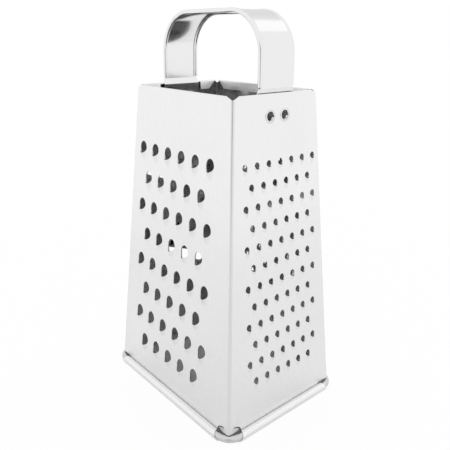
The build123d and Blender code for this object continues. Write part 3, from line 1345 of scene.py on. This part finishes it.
class NodeGraph:
    """A node tree that is being built, with each node's inputs given as it is added."""

    def __init__(self, owner: bpy.types.Material | bpy.types.World) -> None:
        """Takes the owner's node tree and empties it."""
        owner.use_nodes = True
        self.tree = owner.node_tree
        self.tree.nodes.clear()

    def add(
        self, kind: str, inputs: Mapping[str | int, object] | None = None, **settings: object
    ) -> bpy.types.NodeOutputs:
        """Adds a node.

        Args:
            kind: Its type, without the leading ShaderNode.
            inputs: A constant or another node's socket for each input that is set.
            settings: Its other properties, which are set first.

        Returns:
            Its outputs.
        """
        node = self.tree.nodes.new(f"ShaderNode{kind}")
        for name, value in settings.items():
            setattr(node, name, value)
        for key, value in (inputs or {}).items():
            if isinstance(value, bpy.types.NodeSocket):
                self.tree.links.new(value, node.inputs[key])
            else:
                node.inputs[key].default_value = value
        return node.outputs

    def math(self, operation: str, *values: object) -> bpy.types.NodeSocket:
        """Adds a sum with one or two values, each a constant or a socket."""
        return self.add("Math", dict(enumerate(values)), operation=operation)["Value"]

    def ramp(
        self,
        value: bpy.types.NodeSocket,
        source: tuple[float, float],
        target: tuple[float, float],
        kind: str = "LINEAR",
    ) -> bpy.types.NodeSocket:
        """Adds a map from one range to another.

        Args:
            value: What is mapped.
            source: Its range.
            target: The range it is taken to.
            kind: How it runs between the ends.

        Returns:
            The mapped value.
        """
        names = ("From Min", "From Max", "To Min", "To Max")
        inputs = {"Value": value, **dict(zip(names, (*source, *target)))}
        return self.add("MapRange", inputs, interpolation_type=kind)["Result"]


@dataclass(frozen=True)
class SteelFinish:
    """A stainless finish with rolling marks, faint clouds and fine scratches."""

    name: str
    colour: tuple[float, float, float]
    roughness: float
    roughness_spread: float = 0.05
    grain_scale: tuple[float, float, float] = (900.0, 900.0, 60.0)
    grain_range: tuple[float, float] = (0.25, 0.75)
    grain_bump: float = 0.25
    bump_depth: float = 0.02 * MM
    cloud: float = 0.03
    cloud_scale: float = 22.0
    cloud_range: tuple[float, float] = (0.3, 0.7)

    def material(self) -> bpy.types.Material:
        """Makes the finish, or finds it if it is made already.

        Returns:
            The material.
        """
        found = bpy.data.materials.get(self.name)
        if found is not None:
            return found
        material = bpy.data.materials.new(self.name)
        graph = NodeGraph(material)
        place = graph.add("TexCoord")["Object"]
        stretched = graph.add("Mapping", {"Vector": place, "Scale": self.grain_scale})["Vector"]
        grain = graph.add(
            "TexNoise", {"Vector": stretched, "Scale": 1.0, "Detail": 3.0, "Roughness": 0.6}
        )["Fac"]
        clouds = graph.add(
            "TexNoise", {"Vector": place, "Scale": self.cloud_scale, "Detail": 2.0}
        )["Fac"]
        tint = graph.ramp(clouds, self.cloud_range, (1.0 - self.cloud, 1.0))
        shade = graph.add(
            "Mix",
            {"Factor": 1.0, "A": (*self.colour, 1.0), "B": tint},
            data_type="RGBA",
            blend_type="MULTIPLY",
        )["Result"]
        low = self.roughness - self.roughness_spread
        high = self.roughness + self.roughness_spread
        rough = graph.ramp(grain, self.grain_range, (low, high))
        bump = graph.add(
            "Bump",
            {"Height": grain, "Strength": self.grain_bump, "Distance": self.bump_depth},
        )["Normal"]
        shader = graph.add(
            "BsdfPrincipled",
            {
                "Base Color": shade,
                "Metallic": 1.0,
                "Specular IOR Level": 0.5,
                "Roughness": rough,
                "Normal": bump,
            },
        )["BSDF"]
        graph.add("OutputMaterial", {"Surface": shader})
        return material


SATIN_SHEET = SteelFinish(
    name="satin_stainless_sheet",
    colour=(0.89, 0.89, 0.89),
    roughness=0.3,
)
# Colour darker than the outer side: painted shade that keeps the inside of the box dark
SHEET_BACK = SteelFinish(
    name="sheet_back_with_painted_shade",
    colour=(0.68, 0.68, 0.685),
    roughness=0.18,
)
# Colour darker than the outer sheet, a painted dark reflection line down the middle of each corner
# bend
PAINTED_DARK_BEND = SteelFinish(
    name="bend_with_painted_dark_line",
    colour=(0.79, 0.79, 0.79),
    roughness=0.33,
)
BRIGHT_STRAP = SteelFinish(
    name="bright_stainless_strap",
    colour=(0.865, 0.865, 0.87),
    roughness=0.14,
    roughness_spread=0.04,
    grain_scale=(400.0, 1500.0, 400.0),
    grain_bump=0.15,
)
DRAWN_WIRE = SteelFinish(
    name="drawn_stainless_wire",
    colour=(0.66, 0.66, 0.665),
    roughness=0.24,
    grain_scale=(500.0, 500.0, 900.0),
    grain_bump=0.2,
    cloud=0.04,
)
PRESSED_RIVET = SteelFinish(
    name="pressed_stainless_rivet",
    colour=(0.8, 0.8, 0.805),
    roughness=0.28,
    grain_scale=(900.0, 900.0, 900.0),
    grain_bump=0.2,
    cloud=0.04,
)


# Studio


def pointing(azimuth: float, elevation: float) -> Vector:
    """Direction at an azimuth, counted from -Y to +X, and an elevation, both in degrees."""
    turn, rise = math.radians(azimuth), math.radians(elevation)
    level = math.cos(rise)
    return Vector((math.sin(turn) * level, -math.cos(turn) * level, math.sin(rise)))


@dataclass
class Viewpoint:
    """The photograph's camera, in the row frame, with its angles in degrees."""

    location: tuple[float, float, float] = (214.7 * MM, -185.1 * MM, 189.9 * MM)
    azimuth: float = 49.83
    elevation: float = 13.83
    roll: float = 0.28
    lens: float = 44.01
    sensor: float = 36.0
    clip: tuple[float, float] = (10 * MM, 20.0)
    shift: tuple[float, float] = (0.0165, -0.1245)

    def build(self) -> None:
        """Makes the camera and gives it to the scene."""
        data = bpy.data.cameras.new("viewpoint")
        data.sensor_width = self.sensor
        data.lens = self.lens
        data.shift_x, data.shift_y = self.shift
        data.clip_start, data.clip_end = self.clip
        camera = in_scene("viewpoint", data)
        forward = -pointing(self.azimuth, self.elevation)
        turn = forward.to_track_quat("-Z", "Y").to_matrix()
        turn = turn @ Matrix.Rotation(math.radians(self.roll), 3, "Z")
        camera.matrix_world = Matrix.Translation(self.location) @ turn.to_4x4()
        bpy.context.scene.camera = camera


@dataclass
class SoftSun:
    """A wide soft lamp far away, with its angles in degrees."""

    name: str
    azimuth: float
    elevation: float
    spread: float
    strength: float
    in_gloss: bool = False

    def build(self) -> None:
        """Makes the lamp."""
        data = bpy.data.lights.new(self.name, "SUN")
        data.angle = math.radians(self.spread)
        data.energy = self.strength
        lamp = in_scene(self.name, data)
        lamp.rotation_mode = "QUATERNION"
        towards = pointing(self.azimuth, self.elevation)
        lamp.rotation_quaternion = towards.to_track_quat("Z", "Y")
        lamp.visible_glossy = self.in_gloss


@dataclass(frozen=True)
class DimZone:
    """A darker part of the room, between two angles round a direction, in degrees."""

    towards: tuple[float, float, float]
    inner: float
    outer: float
    level: float


class Studio:
    """White world, pale floor and soft lamps."""

    dim_zones = (
        DimZone((0.68, -0.72, 0.1), inner=5, outer=23, level=0.25),
        DimZone((-0.6, 0.71, 0.36), inner=8, outer=42, level=0.82),
    )
    ambient = 0.4
    whitening = 0.95
    # Share of painted white glow that reflections see on the floor beside the object, near it and
    # far off
    near_reflected_glow = 0.35
    far_reflected_glow = 0.1
    floor_colour = (0.84, 0.84, 0.84, 1.0)
    floor_half = 330 * MM
    # The floor under the object, which isn't whitened, so that it keeps its shadow
    shade_middle = (-0.9 * MM, 0.9 * MM)
    shade_half = (48.5 * MM, 37.3 * MM)
    # Where the floor's painted glow in reflections goes from its near level to its far level, in
    # halves of that shadow
    reflected_glow_range = (1.2, 3.0)

    def __init__(self) -> None:
        """Sets the lamps out."""
        self.lamps = [
            SoftSun("overhead_light", azimuth=230, elevation=70, spread=80, strength=1.4),
            SoftSun("front_light", azimuth=40, elevation=55, spread=80, strength=1.0),
            SoftSun(
                "high_back_light",
                azimuth=170,
                elevation=44,
                spread=26,
                strength=0.025,
                in_gloss=True,
            ),
        ]

    def room(self, graph: NodeGraph) -> bpy.types.NodeSocket:
        """Works out how bright the room is in each direction, for what gloss shows of it.

        Args:
            graph: The world's nodes.

        Returns:
            The socket that gives the brightness, 1 where the room is white.
        """
        direction = graph.add("TexCoord")["Generated"]
        result = None
        for zone in self.dim_zones:
            towards = Vector(zone.towards).normalized()
            facing = graph.add(
                "VectorMath", {0: direction, 1: towards}, operation="DOT_PRODUCT"
            )["Value"]
            edges = tuple(math.cos(math.radians(angle)) for angle in (zone.outer, zone.inner))
            fade = graph.ramp(facing, edges, (1.0, zone.level), "SMOOTHSTEP")
            result = fade if result is None else graph.math("MULTIPLY", result, fade)
        return result

    def world(self) -> None:
        """Lights the world evenly, white where the camera, gloss or glass sees it."""
        world = bpy.data.worlds.new("white_room")
        bpy.context.scene.world = world
        graph = NodeGraph(world)
        path = graph.add("LightPath")
        level = graph.add(
            "Mix",
            {"Factor": path["Is Glossy Ray"], "A": 1.0, "B": self.room(graph)},
            data_type="FLOAT",
        )["Result"]
        soft = graph.add("Background", {"Color": WHITE, "Strength": self.ambient})
        seen = graph.add("Background", {"Color": WHITE, "Strength": level})
        direct = graph.math("LESS_THAN", path["Diffuse Depth"], 0.5)
        either = graph.math("MAXIMUM", path["Is Camera Ray"], path["Is Glossy Ray"])
        through = graph.math("MAXIMUM", either, path["Is Transmission Ray"])
        shown = graph.math("MULTIPLY", through, direct)
        mix = graph.add(
            "MixShader", {"Fac": shown, 1: soft["Background"], 2: seen["Background"]}
        )
        graph.add("OutputWorld", {"Surface": mix["Shader"]})

    def floor_material(self) -> bpy.types.Material:
        """Makes the floor's matt white, which the camera sees nearer to white than it is, and which
        reflections see with a painted glow, stronger near the object.

        Returns:
            The material.
        """
        material = bpy.data.materials.new("pale_floor")
        graph = NodeGraph(material)
        path = graph.add("LightPath")
        (x, y), (half_x, half_y) = self.shade_middle, self.shade_half
        spread = graph.add(
            "Mapping",
            {
                "Vector": graph.add("TexCoord")["Object"],
                "Location": (-x / half_x, -y / half_y, 0.0),
                "Scale": (1 / half_x, 1 / half_y, 0.0),
            },
        )["Vector"]
        parts = graph.add("SeparateXYZ", {"Vector": spread})
        reach = [graph.math("ABSOLUTE", parts[axis]) for axis in "XY"]
        outer = graph.math("MAXIMUM", *reach)
        beside = graph.math("GREATER_THAN", outer, 1.0)
        seen = graph.math("MULTIPLY", path["Is Camera Ray"], self.whitening)
        # Reflections see the floor with a painted glow that is stronger near the object
        levels = (self.near_reflected_glow, self.far_reflected_glow)
        near = graph.ramp(outer, self.reflected_glow_range, levels, "SMOOTHSTEP")
        glossy = graph.math("MULTIPLY", path["Is Glossy Ray"], near)
        either = graph.math("MAXIMUM", seen, glossy)
        share = graph.math("MULTIPLY", either, beside)
        matt = graph.add("BsdfDiffuse", {"Color": self.floor_colour})["BSDF"]
        white = graph.add("Emission", {"Color": WHITE, "Strength": 1.0})["Emission"]
        mix = graph.add("MixShader", {"Fac": share, 1: matt, 2: white})
        graph.add("OutputMaterial", {"Surface": mix["Shader"]})
        return material

    def floor(self) -> None:
        """Lays the pale floor."""
        bm = bmesh.new()
        bmesh.ops.create_grid(bm, x_segments=1, y_segments=1, size=self.floor_half)
        mesh = as_mesh(bm, "pale_floor")
        floor = in_scene("pale_floor", mesh)
        mesh.materials.append(self.floor_material())

    def build(self) -> None:
        """Makes the whole studio."""
        self.world()
        self.floor()
        for lamp in self.lamps:
            lamp.build()
        bpy.context.scene.view_settings.view_transform = "Standard"


# Main


def main() -> None:
    """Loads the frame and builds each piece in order."""
    logging.basicConfig(level=logging.INFO, format="%(message)s")
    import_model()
    sizes = SheetSizes()
    GraterBody(sizes).build(SATIN_SHEET, SHEET_BACK, PAINTED_DARK_BEND)
    RimWire(sizes).build(DRAWN_WIRE)
    StrapHandle(sizes).build(BRIGHT_STRAP)
    rivet = HollowRivet(sizes)
    for node, side, sign in (
        ("rivet_fine_front", Side.FINE, -1),
        ("rivet_fine_back", Side.FINE, 1),
        ("rivet_slicer_front", Side.SLICER, 1),
        ("rivet_slicer_back", Side.SLICER, -1),
    ):
        rivet.build(node, side, sign * sizes.rivet_offset, PRESSED_RIVET)
    Studio().build()
    Viewpoint().build()


if __name__ == "__main__":
    main()
